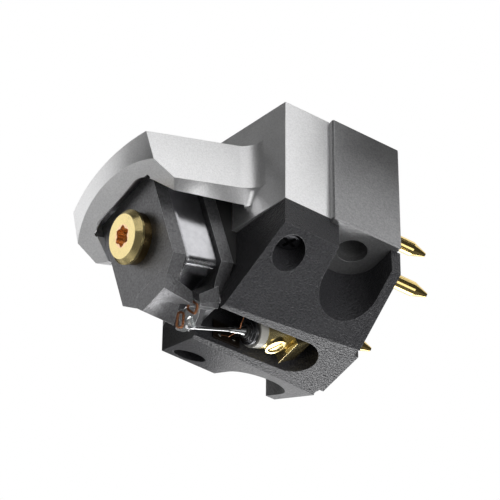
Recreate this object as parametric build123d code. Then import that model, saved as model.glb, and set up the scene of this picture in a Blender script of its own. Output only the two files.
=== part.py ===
from build123d import *
import os
from math import cos, sin, radians

# Moving-coil stylus cartridge, millimetres. Front is -Y, the cartridge's left is +X, up is +Z.
# The origin is midway between the two mounting holes, on the top face that meets the headshell.

# Mounting block
HOLE_SPACING = 12.7          # standard spacing of the two mounting holes
TAPPED_RADIUS = 1.1          # wall of the M2.6 tapped hole
HOLE_CHAMFER = 0.25
BASE_HALF_WIDTH = 8.5
BASE_FRONT = -2.97
BASE_REAR = 2.8
BASE_UNDER = -9.82
EDGE_BREAK = 0.12            # small chamfer left on machined edges

# Front housing and lower body
HALF_WIDTH = 8.0
FRONT_CORNER = -6.7          # where the V-shaped front meets the side
HOUSING_UNDER = -9.54
HOUSING_V = 0.265            # how far the front leans forward per mm towards the middle

# Hood over the magnetic circuit, in the circuit's tilted frame
CIRCUIT_TILT = 20.0
HOOD_TOP_HALF = 4.92
HOOD_TOP_SIDE = 0.17
HOOD_TOP_CROWN = 0.59
HOOD_CREASE_HALF = 5.2
HOOD_CREASE = -3.92
ARM_FRONT = -15.85           # where the rim ends on the arms' underside
ARM_REAR = -10.4
ARM_LOW_FRONT = (4.29, -4.32)
ARM_LOW_REAR = (4.72, -5.2)
BOW_HALF = 6.5               # the front's bow is set out over this half width
BOW_HIGH = (2.0, -17.33, -16.7)    # height, front in the middle, front at the half width
BOW_LOW = (-6.0, -19.44, -17.03)
RIM_SLOPE = (0.62, -0.785)   # direction of the rim, rearward and down
RIM_CROWN = -1.33
RIM_SIDE = -2.24             # rim height 7 mm off the middle, at the hood's front
WINDOW_TOP = -2.28
WINDOW_TOP_HALF = 3.2
WINDOW_FLARE = 0.55
WINDOW_CORNER = 1.6
POCKET_HALF = 3.6
POCKET_TOP = -1.2
POCKET_LOW = -2.85
POCKET_FRONT = -17.15
ROOT_ROUND = 1.5             # blend between the arms' sides and the V-shaped front
ROOT_ROUND_LOW = 0.45        # same under the arms
ROOT_ROUND_DROP = 0.3        # fall of the large blend's lower end, per mm outward

# Lower body
BODY_V = 0.19
BODY_REAR = 2.97
BODY_BAND = -11.85           # lower end of the upright sides
BODY_FACET = 0.635           # fall of the slanted side facet per mm inward
BODY_BOTTOM_FRONT = -15.73   # bottom face at y = -10
BODY_BOTTOM_REAR = -15.11
LIP_HALF_WIDTH = 2.2         # catch for the stylus guard, at the bottom face's rear end
LIP_REACH = 0.34
LIP_HEIGHT = 0.9
NOTCH_RADIUS = 0.4
SCALLOP_RADIUS = 2.22
SCALLOP_X = 6.15
SLOT_HALF_WIDTH = 1.7
SLOT_END_CENTRE = -0.62
BODY_SCREW_INSET = 1.6        # its axis inside the body's side
BODY_SCREW_Y = -5.35
BODY_SCREW_HOLE = 1.15
BODY_SCREW_SEAT = -11.25
BODY_SCREW_X = HALF_WIDTH - BODY_SCREW_INSET
SCREW_HOLE_FIT = 0.08
SEAT_FIT = 0.12              # gap round the rear plate where it sinks into the body

# Body screws
SCREW_HEAD_RADIUS = 0.95
SCREW_HEAD_HEIGHT = 0.6
SCREW_SHANK_RADIUS = 0.5
SCREW_TOP = -6.6
SCREW_CLEARANCE = 0.03
SCREW_CROSS = (1.15, 0.26)
SCREW_CROSS_DEPTH = 0.35

# Magnetic circuit: plates and magnet lean a little less than the poles and the hood
PLATE_TILT = 17.0
FRONT_PLATE = (-16.35, -15.25)
MAGNET_SPAN = (-15.25, -12.27)
REAR_PLATE = (-12.27, -11.25)
PLATE_HALF_WIDTH = 3.3
PLATE_TOP = -2.9
PLATE_SHOULDER = -9.83
PLATE_KNEE = (2.19, -10.66)
PLATE_TOE = (1.42, -11.53)

# Poles, in the circuit's tilted frame: right half of each end's section, down to the groove's ridge
GAP_FRONT = -14.72
GAP_REAR = -14.02
FRONT_ROOT_DEPTH = -16.88
FRONT_ROOT = [(1.5, -9.3), (2.12, -9.87), (1.42, -10.68), (0, -10.68)]
FRONT_TIP = [(1.1, -10.2), (1.6, -10.83), (1.25, -11.7), (0, -10.76)]
REAR_ROOT_DEPTH = -12.5
REAR_ROOT = [(1.4, -9.7), (1.93, -10.33), (1.58, -11.4), (1.15, -11.7), (0, -11.0)]
REAR_TIP = [(0.95, -10.2), (1.44, -10.86), (1.24, -11.5), (1.12, -11.6), (0, -10.8)]
MAGNET_HALF_WIDTH = 3.12
MAGNET_LOW = -10.12
MAGNET_ROUND = 0.5
MAGNET_CHAMFER = 0.28
CLAMP_HEIGHT = -6.37         # axis of the clamp screw
CLAMP_SHANK = 0.8
CLAMP_HOLE = 0.86
CLAMP_HEAD = 1.95
CLAMP_FACE = 1.6
CLAMP_SEAT = -17.0
CLAMP_FRONT = -17.6
CLAMP_END = -11.3
COLLAR_RADIUS = 1.85
SOCKET_LOBES = 6
SOCKET_LOBE = 0.81           # radius to the tip of a lobe
SOCKET_VALLEY = 0.6          # radius between two lobes
SOCKET_DEPTH = 0.75
PAD_HALF_WIDTH = 3.2

# Coils and former, just behind the gap's middle
COIL_FRONT = -14.45
COIL_THICK = 0.12
COIL_LONG = 1.2
COIL_SHORT = 0.84
COIL_BAND = 0.15
COIL_CENTRE = (0.79, -11.53)
COIL_ANGLE = 36.0
FORMER_THICK = 0.06
FORMER_OUTLINE = [(0.16, -12.78), (0.95, -12.42), (1.6, -11.82), (0.86, -10.62), (0.14, -11.05)]

# Moving suspension, measured from the cantilever's front end along its own slope
TIP_Y = -9.42
TIP_Z = -16.93
STYLUS_TILT = 23.0
CANTILEVER_RADIUS = 0.13
CANTILEVER_START = -0.12
CANTILEVER_END = 4.2
STYLUS_AT = 0.1
STYLUS_POINT = -17.3
STYLUS_SHANK = 0.15           # square section of the diamond
STYLUS_CONE = 0.16
PIPE_START = 3.65
PIPE_STEP = 4.0
PIPE_NECK = 4.55
PIPE_END = 4.92
PIPE_SLIM = 0.19              # radii of the joint pipe: front, middle and flared rear end
PIPE_THICK = 0.24
PIPE_FLARE = 0.36
WIRE_RADIUS = 0.06
DAMPER_RADIUS = 0.5
CUP_STEPS = [(0.62, 5.12), (0.82, 5.2), (1.0, 5.34)]    # radius and start of each step
RING_START = 5.6
HOLDER_START = 6.28
HOLDER_END = 8.25
RING_RADIUS = 1.17
HOLDER_RADIUS = 1.2
SET_SCREW_AT = 7.32
SET_SCREW_RADIUS = 0.6
SET_BOSS_RADIUS = 0.78
SET_BOSS_LOW = -1.3
CARRIER_HALF_WIDTH = 1.2
CARRIER_LOW = -1.72           # lower and upper ends of its front face, off the suspension's axis
CARRIER_HIGH = 1.25
CARRIER_BACK = 0.43           # rear of its foot, behind the mounting holes' line
CARRIER_FOOT = 1.28           # length of the foot

# Terminals
PIN_HALF_SPACING = 3.54
PIN_ROWS = (-3.57, -7.56)
PIN_RADIUS = 0.55
PIN_SHANK = 0.35              # part held in the board
PIN_TIP = 8.45
PIN_SHOULDER = 7.25
PIN_INNER = -0.1
PIN_FLANGE = 0.8
PIN_FLANGE_THICK = 0.3
PIN_POINT = 0.17
BOARD_MARGIN = 1.11           # board beyond the pins' axes
BOARD_HALF_WIDTH = PIN_HALF_SPACING + BOARD_MARGIN
BOARD_TOP = -1.65
BOARD_LOW = -9.0
BOARD_INNER = 1.6
POCKET_FIT = 0.05
WIRE_DUCT = 0.6
STRIP_THICK = 0.14
LEAD_RADIUS = 0.05
PIN_LEAD_RADIUS = 0.14

CIRCUIT_AXIS = Rot(CIRCUIT_TILT, 0, 0)
PLATE_AXIS = Rot(PLATE_TILT, 0, 0)
STYLUS_AXIS = Pos(0, TIP_Y, TIP_Z) * Rot(STYLUS_TILT, 0, 0)


def across(face, start, end):
    """Front-view outline (x, height) swept from one depth to another."""
    return extrude(Plane.XZ.offset(-end) * face, amount=end - start)


def side_prism(points, half_width):
    """Side-view outline (depth, height) swept both ways from the middle."""
    outline = make_face(Polyline(*points, close=True))
    return extrude(Plane.YZ.offset(-half_width) * outline, amount=2 * half_width)


def polygon(points):
    return make_face(Polyline(*points, close=True))


def mirrored(points):
    """Closed outline from its right half, listed from one end to the other."""
    return list(points) + [(-x, z) for x, z in reversed(points)]


def turned(points):
    """Solid of revolution about the depth axis from (radius, depth) points."""
    return revolve(polygon(points), axis=Axis.Y)


def rod(radius, start, end, height=0.0):
    return turned([(0, start), (radius, start), (radius, end), (0, end)]).moved(Pos(0, 0, height))


def upright(radius, x, y, low, high):
    return Pos(x, y, low) * extrude(Circle(radius), amount=high - low)


def v_prism(half_width, corner, rise, rear, low, high):
    """Block whose front comes forward to a ridge in the middle."""
    ridge = corner - rise * half_width
    plan = polygon([(half_width, rear), (half_width, corner), (0, ridge), (-half_width, corner),
                    (-half_width, rear)])
    return Pos(0, 0, low) * extrude(plan, amount=high - low)


def swept_wire(points, radius):
    """Plain six-sided lead along straight runs."""
    path = Polyline(*points)
    profile = Plane(origin=path @ 0, z_dir=path % 0) * RegularPolygon(radius, 6)
    return sweep(profile, path=path, transition=Transition.RIGHT)


def mount_base():
    height = -BASE_UNDER
    block = Pos(0, (BASE_FRONT + BASE_REAR) / 2, BASE_UNDER / 2) * Box(
        2 * BASE_HALF_WIDTH, BASE_REAR - BASE_FRONT, height)
    block = chamfer(block.edges(), EDGE_BREAK)
    for side in (-1, 1):
        x = side * HOLE_SPACING / 2
        wide = TAPPED_RADIUS + HOLE_CHAMFER
        hole = turned([(0, 0), (TAPPED_RADIUS, 0), (TAPPED_RADIUS, height - HOLE_CHAMFER),
                       (wide, height), (0, height)])
        block -= Pos(x, 0, BASE_UNDER) * Rot(90, 0, 0) * hole
    recess_half = BOARD_HALF_WIDTH + POCKET_FIT
    recess = Pos(0, BOARD_INNER, BOARD_LOW - POCKET_FIT) * extrude(
        Rectangle(2 * recess_half, 4, align=(Align.CENTER, Align.MIN)),
        amount=BOARD_TOP - BOARD_LOW + 2 * POCKET_FIT)
    block -= recess
    wiring = Pos(0, -2.2, BOARD_LOW + 0.6) * extrude(
        Rectangle(2 * (BOARD_HALF_WIDTH - 0.5), 4, align=(Align.CENTER, Align.MIN)),
        amount=BOARD_TOP - BOARD_LOW - 1.2)
    block -= wiring
    return block - upright(WIRE_DUCT, 0, -1.55, BASE_UNDER, BOARD_LOW + 1.0)


def arm_section(depth, low):
    """Cross-section of the hood before it is opened: crowned top, leaning sides, cut-in lower edges."""
    arc = ThreePointArc((-HOOD_TOP_HALF, HOOD_TOP_SIDE), (0, HOOD_TOP_CROWN),
                        (HOOD_TOP_HALF, HOOD_TOP_SIDE))
    lower = Polyline((HOOD_TOP_HALF, HOOD_TOP_SIDE), (HOOD_CREASE_HALF, HOOD_CREASE), low,
                     (-low[0], low[1]), (-HOOD_CREASE_HALF, HOOD_CREASE), (-HOOD_TOP_HALF, HOOD_TOP_SIDE))
    return Plane.XZ.offset(-depth) * make_face([arc, lower])


def bow_plan(height, middle, side):
    """Plan of the hood with its bowed front edge, at one height."""
    front = ThreePointArc((-BOW_HALF, side), (0, middle), (BOW_HALF, side))
    back = Polyline((BOW_HALF, side), (BOW_HALF, -4), (-BOW_HALF, -4), (-BOW_HALF, side))
    return Pos(0, 0, height) * make_face([front, back])


def hood():
    forward = arm_section(ARM_FRONT, ARM_LOW_FRONT)
    bar = extrude(forward, amount=4, dir=(0, -1, 0))
    bar += loft([forward, arm_section(ARM_REAR, ARM_LOW_REAR)], ruled=True)
    bar += extrude(arm_section(ARM_REAR, ARM_LOW_REAR), amount=3, dir=(0, 1, 0))
    # The front edge is bowed in plan and leans forward towards the bottom.
    bar &= loft([bow_plan(*BOW_LOW), bow_plan(*BOW_HIGH)], ruled=True)
    # The rim falls away below an arch that runs rearward and down.
    back_off = 3.0
    lift = -RIM_SLOPE[1] / RIM_SLOPE[0] * back_off
    arch = ThreePointArc((-7, RIM_SIDE), (0, RIM_CROWN), (7, RIM_SIDE))
    under = make_face([arch, Polyline((7, RIM_SIDE), (7, -14), (-7, -14), (-7, RIM_SIDE))])
    below_rim = Plane.XZ.offset(18 + back_off) * (Pos(0, lift) * under)
    bar -= extrude(below_rim, amount=10.5, dir=Vector(0, *RIM_SLOPE))
    # Open window between the arms, and the pocket that takes the top of the circuit.
    drop = WINDOW_TOP + 7.0
    window = polygon(mirrored([(WINDOW_TOP_HALF, WINDOW_TOP),
                               (WINDOW_TOP_HALF + WINDOW_FLARE * drop, WINDOW_TOP - drop)]))
    window = fillet(window.vertices().group_by(Axis.Y)[-1], WINDOW_CORNER)
    bar -= across(window, -21, -6)
    pocket = Pos(0, (POCKET_TOP + POCKET_LOW) / 2) * Rectangle(2 * POCKET_HALF, POCKET_TOP - POCKET_LOW)
    return bar - across(pocket, POCKET_FRONT, -6)


def blend_wedge(corner, side_normal, front_normal, radius):
    """Concave round between two faces that meet along a line through corner."""
    along = side_normal.cross(front_normal).normalized()
    centre = corner + (side_normal + front_normal) * (radius / (1 + side_normal.dot(front_normal)))
    start = centre - side_normal * radius
    end = centre - front_normal * radius
    middle = centre - (side_normal + front_normal).normalized() * radius
    inside = (side_normal + front_normal) * -0.2
    outline = make_face([ThreePointArc(start, middle, end),
                         Polyline(end, end + inside, corner + inside, start + inside, start)])
    return extrude(outline, amount=9, dir=along, both=True)


def root_blend():
    """Blends where the right arm grows out of the V-shaped front: side face, then the face under the crease."""
    front = Vector(HOUSING_V, -1, 0).normalized()
    crease = Vector(HOOD_CREASE_HALF, 0, HOOD_CREASE)
    ridge = FRONT_CORNER - HOUSING_V * HALF_WIDTH
    tilt = radians(CIRCUIT_TILT)
    depth = (ridge + HOUSING_V * crease.X + crease.Z * sin(tilt)) / cos(tilt)
    corner = (CIRCUIT_AXIS * Pos(crease.X, depth, crease.Z)).position
    lean = Vector(HOOD_TOP_SIDE - HOOD_CREASE, 0, HOOD_CREASE_HALF - HOOD_TOP_HALF).normalized()
    under = Vector(HOOD_CREASE - ARM_LOW_REAR[1], 0, ARM_LOW_REAR[0] - HOOD_CREASE_HALF).normalized()
    side = blend_wedge(corner, (CIRCUIT_AXIS * Pos(lean)).position, front, ROOT_ROUND)
    reach = 2.5
    split = HOOD_CREASE - ROOT_ROUND_DROP * reach
    upper = [(HOOD_CREASE_HALF - 0.6, HOOD_CREASE), (HOOD_CREASE_HALF, HOOD_CREASE), (HOOD_CREASE_HALF + reach, split),
             (HOOD_CREASE_HALF + reach, HOOD_TOP_SIDE), (HOOD_CREASE_HALF - 0.6, HOOD_TOP_SIDE)]
    side &= CIRCUIT_AXIS * across(polygon(upper), -13, -4)
    low = blend_wedge(corner, (CIRCUIT_AXIS * Pos(under)).position, front, ROOT_ROUND_LOW)
    lower = [(HOOD_CREASE_HALF - 0.6, HOOD_CREASE + 0.01), (HOOD_CREASE_HALF, HOOD_CREASE + 0.01),
             (HOOD_CREASE_HALF + reach, split + 0.01), (HOOD_CREASE_HALF + reach, ARM_LOW_REAR[1]),
             (ARM_LOW_REAR[0] - 0.3, ARM_LOW_REAR[1])]
    low &= CIRCUIT_AXIS * across(polygon(lower), -13, -4)
    return side + low


def front_housing():
    block = v_prism(HALF_WIDTH, FRONT_CORNER, HOUSING_V, BASE_FRONT, HOUSING_UNDER, 0)
    blend = root_blend()
    body = block + CIRCUIT_AXIS * hood() + blend + blend.mirror(Plane.YZ)
    for side in (-1, 1):
        body -= upright(SCREW_SHANK_RADIUS + SCREW_CLEARANCE, side * BODY_SCREW_X, BODY_SCREW_Y,
                        HOUSING_UNDER, SCREW_TOP + 0.3)
    return body


def plate_outline(gap=0.0):
    right = [(PLATE_HALF_WIDTH, PLATE_TOP), (PLATE_HALF_WIDTH, PLATE_SHOULDER), PLATE_KNEE, PLATE_TOE]
    outline = polygon(mirrored(right))
    return offset(outline, gap, kind=Kind.INTERSECTION) if gap else outline


def pole_section(depth, right):
    """Upright section of a pole: roof, leaning side, and the groove under it for the coils."""
    return Plane.XZ.offset(-depth) * polygon(right + [(-x, z) for x, z in reversed(right[:-1])])


def pole(root_depth, root, tip_depth, tip):
    return CIRCUIT_AXIS * loft([pole_section(root_depth, root), pole_section(tip_depth, tip)], ruled=True)


def plate(span):
    return PLATE_AXIS * (across(plate_outline(), *span) - rod(CLAMP_HOLE, -20, -10, CLAMP_HEIGHT))


def front_yoke():
    return plate(FRONT_PLATE) + pole(FRONT_ROOT_DEPTH, FRONT_ROOT, GAP_FRONT, FRONT_TIP)


def rear_yoke():
    return plate(REAR_PLATE) + pole(REAR_ROOT_DEPTH, REAR_ROOT, GAP_REAR, REAR_TIP)


def magnet():
    """Plated block with rounded lower edges, bevelled all round at both ends."""
    middle = (PLATE_TOP + MAGNET_LOW) / 2
    outline = Pos(0, middle) * Rectangle(2 * MAGNET_HALF_WIDTH, PLATE_TOP - MAGNET_LOW)
    outline = fillet(outline.vertices().group_by(Axis.Y)[0], MAGNET_ROUND)
    block = across(outline, *MAGNET_SPAN)
    ends = block.edges().group_by(Axis.Y)
    block = chamfer(ends[0] + ends[-1], MAGNET_CHAMFER)
    return PLATE_AXIS * (block - rod(CLAMP_HOLE, -20, -10, CLAMP_HEIGHT))


def circuit_pad():
    """Tapered pad that fills the wedge between the tilted circuit and the upright front."""
    outline = polygon(mirrored([(PAD_HALF_WIDTH, PLATE_TOP), (PAD_HALF_WIDTH, PLATE_SHOULDER)]))
    pad = PLATE_AXIS * across(outline, REAR_PLATE[1], -7.5)
    pad -= v_prism(HALF_WIDTH, FRONT_CORNER, HOUSING_V, 6, HOUSING_UNDER, 4)
    return pad - v_prism(HALF_WIDTH, FRONT_CORNER, BODY_V, 6, -20, HOUSING_UNDER)


def socket_outline():
    """Lobed key socket, its radius swinging between lobe and valley, four points to a lobe."""
    middle = (SOCKET_LOBE + SOCKET_VALLEY) / 2
    swing = (SOCKET_LOBE - SOCKET_VALLEY) / 2
    count = 4 * SOCKET_LOBES
    points = []
    for i in range(count):
        angle = radians(360 / count * i)
        radius = middle + swing * cos(SOCKET_LOBES * angle)
        points.append((radius * cos(angle), radius * sin(angle)))
    return points


def clamp_screw():
    head = turned([(0, CLAMP_FRONT), (CLAMP_FACE, CLAMP_FRONT), (CLAMP_HEAD, CLAMP_FRONT + 0.4),
                   (CLAMP_HEAD, CLAMP_SEAT), (CLAMP_SHANK, CLAMP_SEAT), (CLAMP_SHANK, CLAMP_END),
                   (0, CLAMP_END)])
    head -= across(polygon(socket_outline()), CLAMP_FRONT - 0.1, CLAMP_FRONT + SOCKET_DEPTH)
    return PLATE_AXIS * Pos(0, 0, CLAMP_HEIGHT) * head


def clamp_collar():
    ring = turned([(CLAMP_HOLE, CLAMP_SEAT), (COLLAR_RADIUS, CLAMP_SEAT), (COLLAR_RADIUS, FRONT_PLATE[0]),
                   (CLAMP_HOLE, FRONT_PLATE[0])])
    return PLATE_AXIS * Pos(0, 0, CLAMP_HEIGHT) * ring


def guard_lip():
    """Catch that the stylus guard hooks over, along the rear end of the bottom face."""
    fall = (BODY_BOTTOM_FRONT - BODY_BOTTOM_REAR) / (-10 - BODY_REAR)
    tip = BODY_BOTTOM_REAR + fall * LIP_REACH
    outline = [(BODY_REAR - 0.5, BODY_BOTTOM_REAR - fall * 0.5), (BODY_REAR + LIP_REACH, tip),
               (BODY_REAR + LIP_REACH, tip + LIP_HEIGHT - LIP_REACH), (BODY_REAR, tip + LIP_HEIGHT),
               (BODY_REAR - 0.5, tip + LIP_HEIGHT)]
    return side_prism(outline, LIP_HALF_WIDTH)


def lower_body():
    low = -17.0
    inset = (BODY_BAND - low) / BODY_FACET
    front_view = polygon(mirrored([(HALF_WIDTH, HOUSING_UNDER), (HALF_WIDTH, BODY_BAND),
                                   (HALF_WIDTH - inset + 0.01, low)]))
    body = across(front_view, -12, BODY_REAR)
    body &= side_prism([(-10, HOUSING_UNDER), (BASE_FRONT, HOUSING_UNDER), (BASE_FRONT, BASE_UNDER),
                        (BODY_REAR, BASE_UNDER), (BODY_REAR, BODY_BOTTOM_REAR),
                        (-10, BODY_BOTTOM_FRONT)], 10)
    body &= v_prism(HALF_WIDTH, FRONT_CORNER, BODY_V, BODY_REAR, -20, 0)
    body += guard_lip()
    for side in (-1, 1):
        body -= upright(NOTCH_RADIUS, side * (LIP_HALF_WIDTH + NOTCH_RADIUS), BODY_REAR + 0.3, -17,
                        BODY_BOTTOM_REAR + LIP_HEIGHT)
    slot = Pos(0, SLOT_END_CENTRE, -17) * extrude(
        Circle(SLOT_HALF_WIDTH) + Rectangle(2 * SLOT_HALF_WIDTH, 12, align=(Align.CENTER, Align.MAX)),
        amount=9)
    body -= slot
    # The rear plate sinks a little way into the front.
    body -= PLATE_AXIS * across(plate_outline(SEAT_FIT), -20, REAR_PLATE[1] + SEAT_FIT)
    for side in (-1, 1):
        mouth = Circle(SCALLOP_RADIUS) + Pos(side * 3, 0) * Rectangle(6, 2 * SCALLOP_RADIUS)
        body -= Pos(side * SCALLOP_X, 0, -17) * extrude(mouth, amount=9)
        body -= upright(BODY_SCREW_HOLE, side * BODY_SCREW_X, BODY_SCREW_Y, -17, BODY_SCREW_SEAT)
        body -= upright(SCREW_SHANK_RADIUS + SCREW_HOLE_FIT, side * BODY_SCREW_X, BODY_SCREW_Y, -12, -8)
    return body


def body_screw(side):
    """Flat-topped screw with a cross recess, driven up from below."""
    face = BODY_SCREW_SEAT - SCREW_HEAD_HEIGHT
    bevel = 0.2
    profile = polygon([(0, face), (SCREW_HEAD_RADIUS - bevel, face), (SCREW_HEAD_RADIUS, face + bevel),
                       (SCREW_HEAD_RADIUS, BODY_SCREW_SEAT), (SCREW_SHANK_RADIUS, BODY_SCREW_SEAT),
                       (SCREW_SHANK_RADIUS, SCREW_TOP), (0, SCREW_TOP)])
    screw = revolve(Plane.XZ * profile, axis=Axis.Z)
    cross = Rectangle(*SCREW_CROSS) + Rot(0, 0, 90) * Rectangle(*SCREW_CROSS)
    screw -= Pos(0, 0, face) * extrude(cross, amount=SCREW_CROSS_DEPTH)
    return Pos(side * BODY_SCREW_X, BODY_SCREW_Y, 0) * Rot(0, 0, 20 * side) * screw


def coil(side):
    """Flat winding, a rounded rectangle standing on its corner in the gap."""
    ring = RectangleRounded(COIL_SHORT, COIL_LONG, 0.3) - RectangleRounded(
        COIL_SHORT - 2 * COIL_BAND, COIL_LONG - 2 * COIL_BAND, 0.16)
    ring = Pos(side * COIL_CENTRE[0], COIL_CENTRE[1]) * Rot(0, 0, side * COIL_ANGLE) * ring
    return CIRCUIT_AXIS * across(ring, COIL_FRONT, COIL_FRONT + COIL_THICK)


def cantilever_rod():
    return STYLUS_AXIS * rod(CANTILEVER_RADIUS, CANTILEVER_START, CANTILEVER_END)


def coil_former():
    """Clear sheet behind the coils, with a short stem that straddles the cantilever."""
    back = COIL_FRONT + COIL_THICK
    sheet = across(polygon(mirrored(FORMER_OUTLINE)), back, back + FORMER_THICK)
    stem = across(Pos(0, -12.3) * Rectangle(0.34, 0.9), back, back + 0.26)
    return CIRCUIT_AXIS * (sheet + stem) - cantilever_rod()


def stylus_tip():
    """Square diamond that stands upright on the record, ground to a point under the cantilever's end."""
    shoulder = STYLUS_POINT + STYLUS_CONE
    square = Pos(0, TIP_Y + STYLUS_AT, shoulder) * Rectangle(STYLUS_SHANK, STYLUS_SHANK)
    shank = extrude(square, amount=TIP_Z + 0.05 - shoulder)
    point = extrude(square, amount=STYLUS_CONE, dir=(0, 0, -1), taper=23)
    return shank + point - cantilever_rod()


def joint_pipe():
    bore = CANTILEVER_RADIUS
    pipe = turned([(bore, PIPE_START), (PIPE_SLIM, PIPE_START), (PIPE_SLIM, PIPE_STEP),
                   (PIPE_THICK, PIPE_STEP + 0.05), (PIPE_THICK, PIPE_NECK), (PIPE_FLARE, PIPE_END),
                   (WIRE_RADIUS, PIPE_END), (WIRE_RADIUS, CANTILEVER_END), (bore, CANTILEVER_END)])
    return STYLUS_AXIS * pipe


def suspension_wire():
    return STYLUS_AXIS * rod(WIRE_RADIUS, CANTILEVER_END, HOLDER_END - 0.3)


def damper():
    ring = turned([(WIRE_RADIUS, PIPE_END), (DAMPER_RADIUS, PIPE_END), (DAMPER_RADIUS, RING_START),
                   (WIRE_RADIUS, RING_START)])
    return STYLUS_AXIS * ring


def damper_cup():
    outline = [(DAMPER_RADIUS, CUP_STEPS[0][1])]
    for step, (radius, start) in enumerate(CUP_STEPS):
        end = CUP_STEPS[step + 1][1] if step + 1 < len(CUP_STEPS) else RING_START
        outline += [(radius, start), (radius, end)]
    return STYLUS_AXIS * turned(outline + [(DAMPER_RADIUS, RING_START)])


def retaining_ring():
    ring = turned([(WIRE_RADIUS, RING_START), (RING_RADIUS, RING_START), (RING_RADIUS, HOLDER_START),
                   (WIRE_RADIUS, HOLDER_START)])
    return STYLUS_AXIS * ring


def suspension_holder():
    body = turned([(WIRE_RADIUS, HOLDER_START), (HOLDER_RADIUS, HOLDER_START), (HOLDER_RADIUS, HOLDER_END),
                   (WIRE_RADIUS, HOLDER_END)])
    boss = upright(SET_BOSS_RADIUS, 0, SET_SCREW_AT, SET_BOSS_LOW, 0)
    bore = upright(SET_SCREW_RADIUS, 0, SET_SCREW_AT, SET_BOSS_LOW - 0.1, -0.3)
    wire_end = rod(WIRE_RADIUS, HOLDER_START, HOLDER_END)
    return STYLUS_AXIS * (body + boss - bore - wire_end)


def holder_set_screw():
    low = SET_BOSS_LOW + 0.1
    screw = upright(SET_SCREW_RADIUS, 0, SET_SCREW_AT, low, -0.3)
    slot = Pos(0, SET_SCREW_AT, low) * Box(1.4, 0.17, 0.5)
    return STYLUS_AXIS * (screw - Pos(0, SET_SCREW_AT, 0) * Rot(0, 0, 35) * Pos(0, -SET_SCREW_AT, 0) * slot)


def beside_axis(along, above):
    """Side-view point given by its distance along the suspension's slope and off it."""
    slope = radians(STYLUS_TILT)
    return (TIP_Y + along * cos(slope) - above * sin(slope), TIP_Z + along * sin(slope) + above * cos(slope))


def carrier_block():
    front = CARRIER_BACK - CARRIER_FOOT
    low_y, low_z = beside_axis(HOLDER_END, CARRIER_LOW)
    high = beside_axis(HOLDER_END, CARRIER_HIGH)
    outline = [(low_y, low_z), (CARRIER_BACK - 0.31, low_z + 0.94), (CARRIER_BACK, low_z + 1.34),
               (CARRIER_BACK, BASE_UNDER), (front, BASE_UNDER), (front, high[1] + 0.9), high]
    return side_prism(outline, CARRIER_HALF_WIDTH) - suspension_wire()


def terminal_board():
    height = BOARD_TOP - BOARD_LOW
    board = Pos(0, BOARD_INNER, BOARD_LOW) * extrude(
        Rectangle(2 * BOARD_HALF_WIDTH, BASE_REAR - BOARD_INNER, align=(Align.CENTER, Align.MIN)), amount=height)
    for x in (-PIN_HALF_SPACING, PIN_HALF_SPACING):
        for z in PIN_ROWS:
            board -= Pos(x, 0, z) * rod(PIN_SHANK, 0, 6)
    return board


def terminal_pin(x, z):
    pin = turned([(0, PIN_INNER), (PIN_SHANK, PIN_INNER), (PIN_SHANK, BASE_REAR), (PIN_FLANGE, BASE_REAR),
                  (PIN_FLANGE, BASE_REAR + PIN_FLANGE_THICK), (PIN_RADIUS, BASE_REAR + PIN_FLANGE_THICK),
                  (PIN_RADIUS, PIN_SHOULDER), (PIN_POINT, PIN_TIP), (0, PIN_TIP)])
    return Pos(x, 0, z) * pin


def lead_strip(side):
    """Small insulated strip on the slot's wall, where the coil's wire ends are joined to the leads."""
    inner = side * (SLOT_HALF_WIDTH - STRIP_THICK / 2)
    return Pos(inner, -5.3, -14.3) * Box(STRIP_THICK, 2.2, 1.6)


def coil_lead(side):
    """Twisted pair from the joint pipe to the strip, with slack for the movement."""
    start = STYLUS_AXIS * Pos(side * PIPE_THICK, 4.45, 0)
    p0 = start.position
    return swept_wire([(p0.X, p0.Y, p0.Z), (side * 0.75, p0.Y - 0.25, p0.Z - 0.12), (side * 1.1, -5.6, -15.0),
                       (side * 1.52, -5.85, -14.75)], LEAD_RADIUS)


def pin_lead(side):
    """Pair of leads from the strip up through the base to the pins of one channel."""
    return swept_wire([(side * 1.45, -4.5, -14.2), (side * 1.2, -3.4, -12.0), (side * 0.3, -1.6, -9.6),
                       (side * 0.3, -1.5, -7.5), (side * 2.0, -1.0, -5.8),
                       (side * PIN_HALF_SPACING, -0.3, PIN_ROWS[1] + 0.6)], PIN_LEAD_RADIUS)


PARTS = {
    "mount_base": mount_base(),
    "front_housing": front_housing(),
    "lower_body": lower_body(),
    "body_screw_left": body_screw(1),
    "body_screw_right": body_screw(-1),
    "front_yoke": front_yoke(),
    "magnet": magnet(),
    "rear_yoke": rear_yoke(),
    "circuit_pad": circuit_pad(),
    "clamp_screw": clamp_screw(),
    "clamp_collar": clamp_collar(),
    "coil_left": coil(1),
    "coil_right": coil(-1),
    "coil_former": coil_former(),
    "cantilever": cantilever_rod(),
    "stylus_tip": stylus_tip(),
    "joint_pipe": joint_pipe(),
    "suspension_wire": suspension_wire(),
    "damper": damper(),
    "damper_cup": damper_cup(),
    "retaining_ring": retaining_ring(),
    "suspension_holder": suspension_holder(),
    "holder_set_screw": holder_set_screw(),
    "carrier_block": carrier_block(),
    "terminal_board": terminal_board(),
    "terminal_pin_1": terminal_pin(PIN_HALF_SPACING, PIN_ROWS[0]),
    "terminal_pin_2": terminal_pin(-PIN_HALF_SPACING, PIN_ROWS[0]),
    "terminal_pin_3": terminal_pin(PIN_HALF_SPACING, PIN_ROWS[1]),
    "terminal_pin_4": terminal_pin(-PIN_HALF_SPACING, PIN_ROWS[1]),
    "lead_strip_left": lead_strip(1),
    "lead_strip_right": lead_strip(-1),
    "coil_lead_left": coil_lead(1),
    "coil_lead_right": coil_lead(-1),
    "pin_lead_left": pin_lead(1),
    "pin_lead_right": pin_lead(-1),
}

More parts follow.
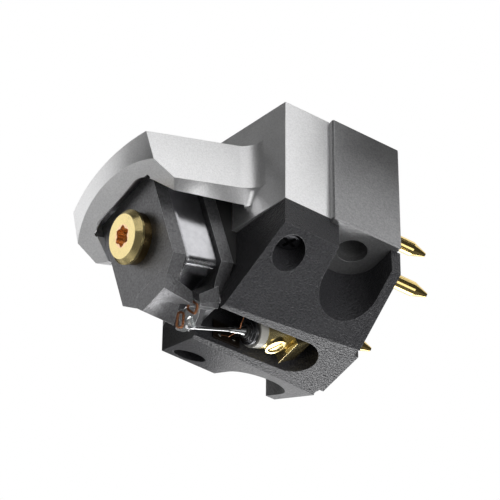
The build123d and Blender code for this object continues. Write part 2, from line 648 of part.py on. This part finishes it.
os.makedirs("parts", exist_ok=True)
for name, shape in PARTS.items():
    export_step(shape, f"parts/{name}.step")
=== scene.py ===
import math

import bmesh
import bpy
from mathutils import Matrix, Vector


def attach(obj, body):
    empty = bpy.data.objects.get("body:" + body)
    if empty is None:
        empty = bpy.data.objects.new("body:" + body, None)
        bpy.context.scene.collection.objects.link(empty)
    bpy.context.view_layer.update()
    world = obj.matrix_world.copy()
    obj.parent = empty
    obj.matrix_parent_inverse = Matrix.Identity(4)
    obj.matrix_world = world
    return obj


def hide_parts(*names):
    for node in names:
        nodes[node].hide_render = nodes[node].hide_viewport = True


# Looks of the moving-coil stylus cartridge. Metres, in the CAD's frame: front -Y, left +X, up +Z.

MM = 0.001
NOISE_LOW, NOISE_HIGH = 0.3, 0.7     # where nearly all of Blender's noise lies
MOTTLE = 2.5                         # size in mm of the slow drift of colour and roughness
DRIFT_SHARE = 0.2                    # share of that drift in the tone, the rest being fine grain
RIDGE_GAIN = 6.0                     # how quickly a turned edge counts as an edge that is lightened, partly for wear and partly as a painted highlight

# Camera, solved from the photograph
TARGET = Vector((0, -4.422, -7.034)) * MM
AZIMUTH = math.radians(57.3)
ELEVATION = math.radians(-43.4)
ROLL = math.radians(0.65)
DISTANCE = 228.57 * MM
LENS = 230.4
SENSOR = 36.0

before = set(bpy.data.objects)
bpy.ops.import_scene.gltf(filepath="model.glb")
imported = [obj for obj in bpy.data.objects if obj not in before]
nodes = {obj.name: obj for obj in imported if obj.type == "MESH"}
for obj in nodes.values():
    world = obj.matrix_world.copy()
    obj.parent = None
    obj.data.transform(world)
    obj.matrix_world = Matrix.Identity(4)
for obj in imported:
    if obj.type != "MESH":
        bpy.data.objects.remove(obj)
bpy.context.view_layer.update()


# Small helpers for node trees

def link(tree, source, target):
    tree.links.new(source, target)


def node(tree, kind, inputs=None, **settings):
    made = tree.nodes.new(kind)
    for key, value in settings.items():
        setattr(made, key, value)
    for key, value in (inputs or {}).items():
        if isinstance(value, bpy.types.NodeSocket):
            link(tree, value, made.inputs[key])
        else:
            made.inputs[key].default_value = value
    return made


def math_node(tree, operation, a, b=None, clamp=False):
    inputs = {0: a} if b is None else {0: a, 1: b}
    return node(tree, "ShaderNodeMath", inputs, operation=operation, use_clamp=clamp).outputs[0]


def place(tree):
    """Position on the surface, in metres in the part's own frame."""
    return node(tree, "ShaderNodeTexCoord").outputs["Object"]


def vector_math(tree, operation, a, b=None, output="Vector"):
    inputs = {0: a} if b is None else {0: a, 1: b}
    return node(tree, "ShaderNodeVectorMath", inputs, operation=operation).outputs[output]


def noise(tree, size, detail=2.0, stretch=(1, 1, 1)):
    """Grey noise whose features are about size across; stretch lengthens them along an axis."""
    scale = [1 / (size * s) for s in stretch]
    mapped = node(tree, "ShaderNodeMapping", {"Vector": place(tree), "Scale": scale})
    made = node(tree, "ShaderNodeTexNoise", {"Vector": mapped.outputs[0], "Scale": 1.0, "Detail": detail})
    return made.outputs["Fac"]


def blend_colours(tree, share, low, high):
    ramp = node(tree, "ShaderNodeValToRGB", {"Fac": share})
    ramp.color_ramp.elements[0].position = NOISE_LOW
    ramp.color_ramp.elements[1].position = NOISE_HIGH
    ramp.color_ramp.elements[0].color = (*low, 1)
    ramp.color_ramp.elements[1].color = (*high, 1)
    return ramp.outputs["Color"]


def scaled(colour, factor):
    return tuple(min(1.0, c * factor) for c in colour)


def remap(tree, share, low, high):
    made = node(tree, "ShaderNodeMapRange", {"Value": share, "From Min": NOISE_LOW, "From Max": NOISE_HIGH,
                                             "To Min": low, "To Max": high})
    return made.outputs[0]


def mix_colours(tree, share, base, other):
    mixed = node(tree, "ShaderNodeMix", data_type="RGBA")
    link(tree, share, mixed.inputs["Factor"])
    link(tree, base, mixed.inputs["A"])
    mixed.inputs["B"].default_value = (*other, 1)
    return mixed.outputs["Result"]


def about_axis(tree, origin, axis):
    """Distance from an axis through origin (mm), and the way along it, both in metres."""
    shifted = vector_math(tree, "SUBTRACT", place(tree), Vector(origin) * MM)
    cross = vector_math(tree, "CROSS_PRODUCT", shifted, Vector(axis))
    off = vector_math(tree, "LENGTH", cross, output="Value")
    along = vector_math(tree, "DOT_PRODUCT", shifted, Vector(axis), output="Value")
    return off, along


def surface(name, colour, metallic, roughness, grain=0.1, depth=0.01, variation=0.08, rough_spread=0.06,
            edge=0.05, edge_wear_and_highlight=None, wear_and_highlight_share=0.0, stretch=(1, 1, 1), coat=0.0, grain_detail=3.0,
            sheen_marks=None, shine=0.5):
    """A finished surface: colour that drifts, roughness that drifts, fine grain, and rounded edges lightened
    partly by wear and partly by a painted highlight.

    grain is the size of its features, depth their height and edge the rounding of edges, all in mm.
    """
    material = bpy.data.materials.new(name)
    material.use_nodes = True
    tree = material.node_tree
    shader = tree.nodes["Principled BSDF"]
    shader.inputs["Metallic"].default_value = metallic
    shader.inputs["Coat Weight"].default_value = coat
    shader.inputs["Coat Roughness"].default_value = 0.12
    shader.inputs["Specular IOR Level"].default_value = shine

    drift = noise(tree, MOTTLE * MM, 4.0)
    fine = noise(tree, grain * MM, grain_detail, stretch)
    tone = math_node(tree, "ADD", math_node(tree, "MULTIPLY", drift, DRIFT_SHARE),
                     math_node(tree, "MULTIPLY", fine, 1 - DRIFT_SHARE))
    base = blend_colours(tree, tone, scaled(colour, 1 - variation), scaled(colour, 1 + variation))

    rounded = node(tree, "ShaderNodeBevel", {"Radius": edge * MM}, samples=6).outputs[0]
    # Edges are lightened towards the wear colour in patches: partly real wear, partly a painted highlight.
    if edge_wear_and_highlight:
        flat = node(tree, "ShaderNodeNewGeometry").outputs["Normal"]
        turn = vector_math(tree, "DOT_PRODUCT", rounded, flat, "Value")
        ridge = math_node(tree, "MULTIPLY", math_node(tree, "SUBTRACT", 1.0, turn), RIDGE_GAIN, clamp=True)
        worn_and_lit_edges = math_node(tree, "MULTIPLY", ridge, math_node(tree, "MULTIPLY", fine, 2 * wear_and_highlight_share), clamp=True)
        base = mix_colours(tree, worn_and_lit_edges, base, edge_wear_and_highlight)
    link(tree, base, shader.inputs["Base Color"])
    link(tree, remap(tree, drift, roughness - rough_spread, roughness + rough_spread), shader.inputs["Roughness"])

    height = math_node(tree, "ADD", fine, sheen_marks(tree)) if sheen_marks else fine
    bump = node(tree, "ShaderNodeBump", {"Strength": 1.0, "Distance": depth * MM, "Height": height,
                                         "Normal": rounded})
    link(tree, bump.outputs[0], shader.inputs["Normal"])
    return material


def turning_marks(origin, axis, pitch):
    """Fine rings left by a lathe, round an axis through origin."""
    def marks(tree):
        total = math_node(tree, "ADD", *about_axis(tree, origin, axis))
        return math_node(tree, "SINE", math_node(tree, "MULTIPLY", total, 2 * math.pi / (pitch * MM)))
    return marks


def inside_socket(material, origin, axis, depth, radius, colour):
    """Warmer colour inside the key socket, where light bounces several times between the walls."""
    tree = material.node_tree
    shader = tree.nodes["Principled BSDF"]
    base = shader.inputs["Base Color"].links[0].from_socket
    off, along = about_axis(tree, origin, axis)
    near = math_node(tree, "LESS_THAN", off, radius * MM)
    deep = math_node(tree, "GREATER_THAN", along, depth * MM)
    inside = math_node(tree, "MULTIPLY", near, deep)
    link(tree, mix_colours(tree, inside, base, colour), shader.inputs["Base Color"])


def see_through(material, share, ior=None):
    shader = material.node_tree.nodes["Principled BSDF"]
    shader.inputs["Transmission Weight"].default_value = share
    if ior:
        shader.inputs["IOR"].default_value = ior


def dress(material, *names):
    for name in names:
        slots = nodes[name].data.materials
        slots.clear()
        slots.append(material)


# Finishes

CLAMP_AXIS = (0, math.cos(math.radians(17)), math.sin(math.radians(17)))
CLAMP_POINT = (0, 0, -6.66)              # on the clamp screw's axis, mm
SOCKET_MOUTH = -17.45                    # along that axis, mm
SOCKET_REACH = 0.84                      # just past the socket's lobes, mm
STYLUS_LINE = (0, math.cos(math.radians(23)), math.sin(math.radians(23)))
CANTILEVER_FRONT = (0, -9.42, -16.93)    # on the suspension's axis, mm

# The wear colours lighten the edges: partly real wear, partly a painted highlight.
titanium = surface("titanium", (0.31, 0.31, 0.315), 0.8, 0.36, grain=0.13, depth=0.016, variation=0.2,
                   rough_spread=0.03, edge_wear_and_highlight=(0.75, 0.75, 0.76), wear_and_highlight_share=0.4)
housing = surface("blasted_aluminium", (0.86, 0.86, 0.865), 0.88, 0.36, grain=0.12, depth=0.014, variation=0.1,
                  rough_spread=0.03, edge_wear_and_highlight=(0.97, 0.97, 0.97), wear_and_highlight_share=0.6)
body = surface("charcoal_body", (0.034, 0.034, 0.037), 0.0, 0.36, grain=0.14, depth=0.12, variation=0.4,
               edge=0.1, edge_wear_and_highlight=(0.18, 0.18, 0.185), wear_and_highlight_share=0.5, grain_detail=2.0, shine=0.35)
black_steel = surface("blackened_steel", (0.03, 0.03, 0.033), 0.8, 0.2, grain=0.2, depth=0.004, edge=0.06)
yoke = surface("plated_iron", (0.16, 0.16, 0.165), 0.8, 0.4, grain=0.14, depth=0.022, variation=0.35,
               rough_spread=0.03, edge_wear_and_highlight=(0.75, 0.75, 0.75), wear_and_highlight_share=0.7, edge=0.04)
magnet = surface("bright_nickel", (0.5, 0.5, 0.52), 1.0, 0.16, grain=0.5, depth=0.003, rough_spread=0.05,
                 edge=0.32)
# Painted shade: the circuit pad is coloured near black for the shadow it lies in.
pad = surface("pad_painted_shade", (0.012, 0.012, 0.012), 0.0, 0.6, grain=0.1, depth=0.01)
board = surface("black_board", (0.03, 0.03, 0.03), 0.0, 0.5, grain=0.1, depth=0.01)
gold = surface("turned_gold", (0.93, 0.76, 0.36), 1.0, 0.2, grain=0.6, depth=0.002, variation=0.04,
               rough_spread=0.02, sheen_marks=turning_marks(CLAMP_POINT, CLAMP_AXIS, 0.09), edge=0.04)
inside_socket(gold, CLAMP_POINT, CLAMP_AXIS, SOCKET_MOUTH, SOCKET_REACH, (1.0, 0.68, 0.4))
# Painted shade: the clamp collar's gold is darkened for the shadow it lies in.
gold_with_painted_shade = surface("turned_gold_painted_shade", (0.2, 0.14, 0.06), 1.0, 0.28, grain=0.3, depth=0.003,
                 sheen_marks=turning_marks(CLAMP_POINT, CLAMP_AXIS, 0.07))
plated = surface("plated_gold", (0.97, 0.79, 0.4), 1.0, 0.22, grain=0.1, depth=0.005, edge=0.05,
                 stretch=(12, 1, 1))
pin_gold = surface("pin_gold", (0.85, 0.64, 0.25), 1.0, 0.11, grain=0.5, depth=0.002, edge=0.04)
bright = surface("turned_bright", (0.6, 0.61, 0.62), 1.0, 0.16, grain=0.2, depth=0.003, edge=0.03,
                 sheen_marks=turning_marks(CANTILEVER_FRONT, STYLUS_LINE, 0.08))
dark_metal = surface("dark_turned_metal", (0.22, 0.22, 0.23), 1.0, 0.2, grain=0.2, depth=0.003, edge=0.04,
                     sheen_marks=turning_marks(CANTILEVER_FRONT, STYLUS_LINE, 0.12))
cantilever_metal = surface("cantilever_metal", (0.72, 0.72, 0.73), 1.0, 0.14, grain=0.2, depth=0.002, edge=0.02)
rubber = surface("damper_rubber", (0.012, 0.012, 0.012), 0.0, 0.5, grain=0.08, depth=0.006)
ring = surface("pale_ring", (0.4, 0.39, 0.36), 0.0, 0.3, grain=0.1, depth=0.006, variation=0.1, edge=0.04)
see_through(ring, 0.3)
copper = surface("enamelled_copper", (0.5, 0.2, 0.085), 0.85, 0.3, grain=0.06, depth=0.003, coat=0.4)
film = surface("clear_film", (0.78, 0.8, 0.8), 0.0, 0.08, grain=0.3, depth=0.004, edge=0.02)
see_through(film, 0.85, 1.45)
glue = surface("clear_glue", (0.86, 0.87, 0.86), 0.0, 0.06, grain=0.2, depth=0.01, edge=0.02)
see_through(glue, 0.9, 1.5)
diamond = surface("diamond", (0.95, 0.96, 0.97), 0.0, 0.04, grain=0.3, depth=0.0005, edge=0.01)
see_through(diamond, 0.9, 2.4)
strip = surface("brown_strip", (0.009, 0.006, 0.004), 0.0, 0.4, grain=0.1, depth=0.004)
solder = surface("solder", (0.5, 0.5, 0.48), 1.0, 0.25, grain=0.08, depth=0.006)
sleeve = surface("black_sleeve", (0.02, 0.02, 0.022), 0.0, 0.5, grain=0.1, depth=0.006)

dress(titanium, "mount_base")
dress(housing, "front_housing")
dress(body, "lower_body")
dress(black_steel, "body_screw_left", "body_screw_right")
dress(yoke, "front_yoke", "rear_yoke")
dress(magnet, "magnet")
dress(pad, "circuit_pad")
dress(gold, "clamp_screw")
dress(gold_with_painted_shade, "clamp_collar")
dress(copper, "coil_left", "coil_right", "coil_lead_left", "coil_lead_right")
dress(film, "coil_former")
dress(cantilever_metal, "cantilever")
dress(diamond, "stylus_tip")
dress(bright, "joint_pipe", "suspension_wire")
dress(dark_metal, "damper_cup")
dress(rubber, "damper")
dress(ring, "retaining_ring")
dress(plated, "suspension_holder", "holder_set_screw", "carrier_block")
dress(board, "terminal_board")
dress(pin_gold, "terminal_pin_1", "terminal_pin_2", "terminal_pin_3", "terminal_pin_4")
dress(strip, "lead_strip_left", "lead_strip_right")
dress(sleeve, "pin_lead_left", "pin_lead_right")


# Pieces added to the solids

CIRCUIT_TILT = math.radians(20.0)
COIL_ANGLE = math.radians(36.0)
COIL_CENTRE = (0.79, -11.53)         # sideways and up in the circuit's frame, mm
COIL_FRONT = -14.435                 # depth of the first layer of wire, mm
COIL_SIZE = (0.84, 1.2)
COIL_CORNER = 0.3
TURN_PITCH = 0.03                    # between turns and between layers, mm
WIRE_RADIUS = 0.0148
HOLE_X = 6.35                        # mounting holes, half their spacing, mm


def in_circuit(x, depth, height):
    """Point given in the tilted frame of the magnetic circuit, in mm."""
    cos, sin = math.cos(CIRCUIT_TILT), math.sin(CIRCUIT_TILT)
    return Vector((x, depth * cos - height * sin, depth * sin + height * cos))


def tube(points, radius, sides=6, closed=False):
    """Round wire along points: vertices and faces."""
    count = len(points)
    verts, faces = [], []
    side = None
    for i, point in enumerate(points):
        ahead = points[(i + 1) % count] if closed or i + 1 < count else point
        behind = points[i - 1] if closed or i else point
        along = (ahead - behind).normalized()
        if side is None:
            side = along.orthogonal().normalized()
        side = (side - along * side.dot(along)).normalized()
        up = along.cross(side)
        for k in range(sides):
            angle = 2 * math.pi * k / sides
            verts.append(point + radius * (math.cos(angle) * side + math.sin(angle) * up))
    for i in range(count if closed else count - 1):
        for k in range(sides):
            a, b = i * sides + k, i * sides + (k + 1) % sides
            c, d = ((i + 1) % count) * sides + (k + 1) % sides, ((i + 1) % count) * sides + k
            faces.append((a, b, c, d))
    if not closed:
        faces.append(tuple(reversed(range(sides))))
        faces.append(tuple(range((count - 1) * sides, count * sides)))
    return verts, faces


def piece(name, parts, material, body, slot, *replaced):
    """One object made of several vertex and face lists given in mm."""
    verts, faces = [], []
    for part_verts, part_faces in parts:
        start = len(verts)
        verts += [v * MM for v in part_verts]
        faces += [tuple(start + i for i in face) for face in part_faces]
    mesh = bpy.data.meshes.new(name)
    mesh.from_pydata(verts, [], faces)
    mesh.polygons.foreach_set("use_smooth", [True] * len(mesh.polygons))
    mesh.materials.append(material)
    made = bpy.data.objects.new(name, mesh)
    bpy.context.scene.collection.objects.link(made)
    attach(made, body)
    if replaced:
        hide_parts(*replaced)


def rounded_loop(width, height, corner, steps=7):
    """Points round a rectangle with round corners."""
    points = []
    for quarter in range(4):
        sx = 1 if quarter in (0, 3) else -1
        sy = 1 if quarter in (0, 1) else -1
        for i in range(steps):
            angle = math.pi / 2 * (quarter + i / (steps - 1))
            points.append((sx * (width / 2 - corner) + corner * math.cos(angle),
                           sy * (height / 2 - corner) + corner * math.sin(angle)))
    return points


def winding(side):
    """Turns of fine wire in the coil's place: layers through its thickness, turns across its band."""
    turns, layers = 5, 4
    turn = COIL_ANGLE * side
    parts = []
    for layer in range(layers):
        for k in range(turns):
            inset = TURN_PITCH / 2 + TURN_PITCH * k
            loop = rounded_loop(COIL_SIZE[0] - 2 * inset, COIL_SIZE[1] - 2 * inset, COIL_CORNER - inset * 0.9)
            depth = COIL_FRONT + TURN_PITCH * layer
            points = []
            for u, v in loop:
                x = u * math.cos(turn) - v * math.sin(turn) + side * COIL_CENTRE[0]
                z = u * math.sin(turn) + v * math.cos(turn) + COIL_CENTRE[1]
                points.append(in_circuit(x, depth, z))
            parts.append(tube(points, WIRE_RADIUS, closed=True))
    return parts


def smooth_path(points, steps):
    """Curve through the points, by Catmull-Rom."""
    ends = [points[0] * 2 - points[1]] + points + [points[-1] * 2 - points[-2]]
    path = []
    for i in range(1, len(ends) - 2):
        p0, p1, p2, p3 = ends[i - 1:i + 3]
        for k in range(steps):
            t = k / steps
            path.append(0.5 * (2 * p1 + (p2 - p0) * t + (2 * p0 - 5 * p1 + 4 * p2 - p3) * t * t
                               + (3 * p1 - p0 - 3 * p2 + p3) * t ** 3))
    path.append(points[-1])
    return path


def twisted(points, wire, twist_radius, pitch, steps=24):
    """Two fine wires twisted round each other along a path."""
    path = smooth_path([Vector(p) for p in points], steps)
    strands = [[], []]
    run = 0.0
    side = None
    for i, point in enumerate(path):
        along = (path[min(i + 1, len(path) - 1)] - path[max(i - 1, 0)]).normalized()
        if side is None:
            side = along.orthogonal().normalized()
        side = (side - along * side.dot(along)).normalized()
        if i:
            run += (point - path[i - 1]).length
        angle = 2 * math.pi * run / pitch
        offset = twist_radius * (math.cos(angle) * side + math.sin(angle) * along.cross(side))
        strands[0].append(point + offset)
        strands[1].append(point - offset)
    return [tube(strand, wire) for strand in strands]


def blob(centre, sizes, seed, rough=0.12):
    """Lump of set glue or solder: a sphere pulled out of round."""
    mesh = bmesh.new()
    bmesh.ops.create_icosphere(mesh, subdivisions=3, radius=1.0)
    verts, faces = [], []
    mesh.verts.ensure_lookup_table()
    for vert in mesh.verts:
        n = vert.co.normalized()
        waves = math.sin(3.1 * n.x + seed) * math.cos(2.3 * n.y - seed) + 0.6 * math.sin(4.7 * n.z + 2 * seed)
        pull = 1 + rough * waves
        verts.append(Vector(centre) + Vector((n.x * sizes[0], n.y * sizes[1], n.z * sizes[2])) * pull)
    for face in mesh.faces:
        faces.append(tuple(v.index for v in face.verts))
    mesh.free()
    return verts, faces


def thread(x, radius, crest, pitch, low, high):
    """Ridges of a screw thread on the wall of an upright hole."""
    around = 40
    rows = []
    turns = int((high - low) / pitch)
    for i in range(2 * turns + 1):
        rows.append((crest if i % 2 else radius, low + i * pitch / 2))
    verts, faces = [], []
    for row, (r, z) in enumerate(rows):
        for k in range(around):
            angle = 2 * math.pi * k / around
            verts.append(Vector((x + r * math.cos(angle), r * math.sin(angle), z + pitch * k / around)))
    for row in range(len(rows) - 1):
        for k in range(around - 1):
            a, b = row * around + k, row * around + k + 1
            faces.append((b, a, a + around, b + around))
    for row in range(len(rows) - 3):
        a, b = row * around + around - 1, (row + 2) * around
        faces.append((b, a, a + around, b + around))
    return verts, faces


for side, hand in ((1, "left"), (-1, "right")):
    piece("wound_coil_" + hand, winding(side), copper, "cantilever_assembly", "coil_copper", "coil_" + hand)
    lead = [(side * 0.24, -5.324, -15.191), (side * 0.75, -5.574, -15.311), (side * 1.1, -5.6, -15.0),
            (side * 1.52, -5.85, -14.75)]
    piece("twisted_lead_" + hand, twisted(lead, 0.018, 0.02, 0.16), copper, "cartridge_body", "lead_copper",
          "coil_lead_" + hand)
    piece("solder_joints_" + hand, [blob((side * 1.53, -5.86, -14.72), (0.07, 0.17, 0.15), 1.0),
                                    blob((side * 1.53, -4.72, -14.6), (0.07, 0.18, 0.15), 2.3)],
          solder, "cartridge_body", "strip_film")
    ridges = thread(side * HOLE_X, radius=1.095, crest=1.03, pitch=0.45, low=-9.55, high=-0.75)
    piece("mounting_thread_" + hand, [ridges], titanium, "cartridge_body", "titanium")
piece("cantilever_glue", [blob((0, -9.33, -16.72), (0.24, 0.13, 0.22), 0.7, 0.2),
                          blob((0.1, -9.42, -16.5), (0.13, 0.08, 0.2), 2.1, 0.25)], glue, "cantilever_assembly",
      "former_film")


# Studio

def look_along(obj, direction):
    obj.rotation_euler = direction.to_track_quat("-Z", "Y").to_euler()


def softbox(name, direction, distance, width, height, power, mirrored=True):
    light = bpy.data.lights.new(name, "AREA")
    light.shape = "RECTANGLE"
    light.size = width
    light.size_y = height
    light.energy = power
    lamp = bpy.data.objects.new(name, light)
    lamp.visible_glossy = mirrored
    away = Vector(direction).normalized()
    lamp.location = TARGET + away * distance
    look_along(lamp, -away)
    bpy.context.scene.collection.objects.link(lamp)


def card(name, corners, tone):
    """Grey card, corners in mm, that only shows in reflections, as a studio's flags do."""
    mesh = bpy.data.meshes.new(name)
    mesh.from_pydata([Vector(c) * MM for c in corners], [], [(0, 1, 2, 3)])
    made = bpy.data.objects.new(name, mesh)
    material = bpy.data.materials.new(name)
    material.use_nodes = True
    tree = material.node_tree
    tree.nodes.remove(tree.nodes["Principled BSDF"])
    glow = node(tree, "ShaderNodeEmission", {"Color": (tone, tone, tone, 1), "Strength": 1.0})
    link(tree, glow.outputs[0], tree.nodes["Material Output"].inputs["Surface"])
    mesh.materials.append(material)
    made.visible_camera = False
    made.visible_diffuse = False
    made.visible_transmission = False
    made.visible_shadow = False
    bpy.context.scene.collection.objects.link(made)


def facing_card(name, azimuth, elevation, wide, tall, tone, distance=150.0):
    """Card square to a direction from the object; azimuth in degrees from the front towards +X."""
    a, e = math.radians(azimuth), math.radians(elevation)
    away = Vector((math.sin(a) * math.cos(e), -math.cos(a) * math.cos(e), math.sin(e)))
    right = Vector((math.cos(a), math.sin(a), 0))
    up = right.cross(away) * -1
    centre = TARGET / MM + away * distance
    x = right * (distance * math.tan(math.radians(wide / 2)))
    y = up * (distance * math.tan(math.radians(tall / 2)))
    card(name, [centre - x - y, centre + x - y, centre + x + y, centre - x + y], tone)


def pale_floor():
    """Plain pale floor, far enough below for the camera to look up past it."""
    mesh = bpy.data.meshes.new("floor")
    half, height = 0.6, -0.25
    corners = [(-half, -half), (half, -half), (half, half), (-half, half)]
    mesh.from_pydata([(x, y, height) for x, y in corners], [], [(0, 1, 2, 3)])
    floor = bpy.data.objects.new("floor", mesh)
    material = bpy.data.materials.new("pale_floor")
    material.use_nodes = True
    tree = material.node_tree
    shader = tree.nodes["Principled BSDF"]
    shader.inputs["Base Color"].default_value = (0.85, 0.85, 0.85, 1)
    shader.inputs["Roughness"].default_value = 0.9
    rays = node(tree, "ShaderNodeLightPath")
    seen = math_node(tree, "ADD", rays.outputs["Is Camera Ray"], rays.outputs["Is Glossy Ray"], clamp=True)
    white = node(tree, "ShaderNodeEmission", {"Color": (1, 1, 1, 1), "Strength": 1.0})
    mixed = node(tree, "ShaderNodeMixShader", {0: seen, 1: shader.outputs[0], 2: white.outputs[0]})
    link(tree, mixed.outputs[0], tree.nodes["Material Output"].inputs["Surface"])
    mesh.materials.append(material)
    bpy.context.scene.collection.objects.link(floor)


def white_world(fill):
    """White where the camera, glossy or see-through rays leave the scene, a soft fill for the rest."""
    world = bpy.data.worlds.new("studio")
    bpy.context.scene.world = world
    world.use_nodes = True
    tree = world.node_tree
    background = tree.nodes["Background"]
    rays = node(tree, "ShaderNodeLightPath")
    seen = math_node(tree, "ADD", rays.outputs["Is Camera Ray"], rays.outputs["Is Glossy Ray"])
    seen = math_node(tree, "ADD", seen, rays.outputs["Is Transmission Ray"], clamp=True)
    strength = node(tree, "ShaderNodeMapRange", {"Value": seen, "To Min": fill, "To Max": 1.0})
    background.inputs["Color"].default_value = (1, 1, 1, 1)
    link(tree, strength.outputs[0], background.inputs["Strength"])


def camera():
    data = bpy.data.cameras.new("camera")
    data.lens = LENS
    data.sensor_width = SENSOR
    data.clip_start = 0.01
    data.clip_end = 10
    made = bpy.data.objects.new("camera", data)
    back = Vector((math.sin(AZIMUTH) * math.cos(ELEVATION), -math.cos(AZIMUTH) * math.cos(ELEVATION),
                   math.sin(ELEVATION)))
    right = Vector((0, 0, 1)).cross(back).normalized()
    up = back.cross(right)
    turned_right = math.cos(ROLL) * right + math.sin(ROLL) * up
    turned_up = back.cross(turned_right)
    turn = Matrix((turned_right, turned_up, back)).transposed()
    made.matrix_world = Matrix.Translation(TARGET + back * DISTANCE) @ turn.to_4x4()
    bpy.context.scene.collection.objects.link(made)
    bpy.context.scene.camera = made


white_world(0.2)
pale_floor()
softbox("key", (0.7, 0.3, -0.7), 0.25, 0.25, 0.25, 0.5, mirrored=False)
softbox("top_side", (0.58, 0.38, 0.72), 0.3, 0.16, 0.16, 0.02)
softbox("below", (-0.7, 0.42, -0.58), 0.13, 0.12, 0.12, 0.27)
softbox("low_side", (0.6, 0.39, -0.69), 0.13, 0.07, 0.07, 0.025)
facing_card("front_flag", 3, 47, 62, 46, 0.06)
facing_card("front_low_flag", 15, 4, 60, 44, 0.04)
facing_card("rim_grey", -54, -41, 50, 40, 0.36, distance=80.0)
facing_card("crease_flag", 134, 0, 74, 50, 0.05)
facing_card("rear_flag", 180, 8, 50, 50, 0.05, distance=140.0)
card("wing_flag", [(16, 1.5, 3.4), (16, 18, 3.4), (16, 18, 30), (16, 1.5, 30)], 0.0)
card("side_grey", [(16, -14, 12.5), (16, 1.5, 12.5), (16, 1.5, 40), (16, -14, 40)], 0.25)
card("far_flag", [(-13, -16, -25), (-13, 0, -25), (-13, 0, 3), (-13, -16, 3)], 0.05)
card("under_flag", [(-400, -400, -110), (400, -400, -110), (400, 400, -110), (-400, 400, -110)], 0.12)
camera()

bpy.context.scene.view_settings.view_transform = "Standard"
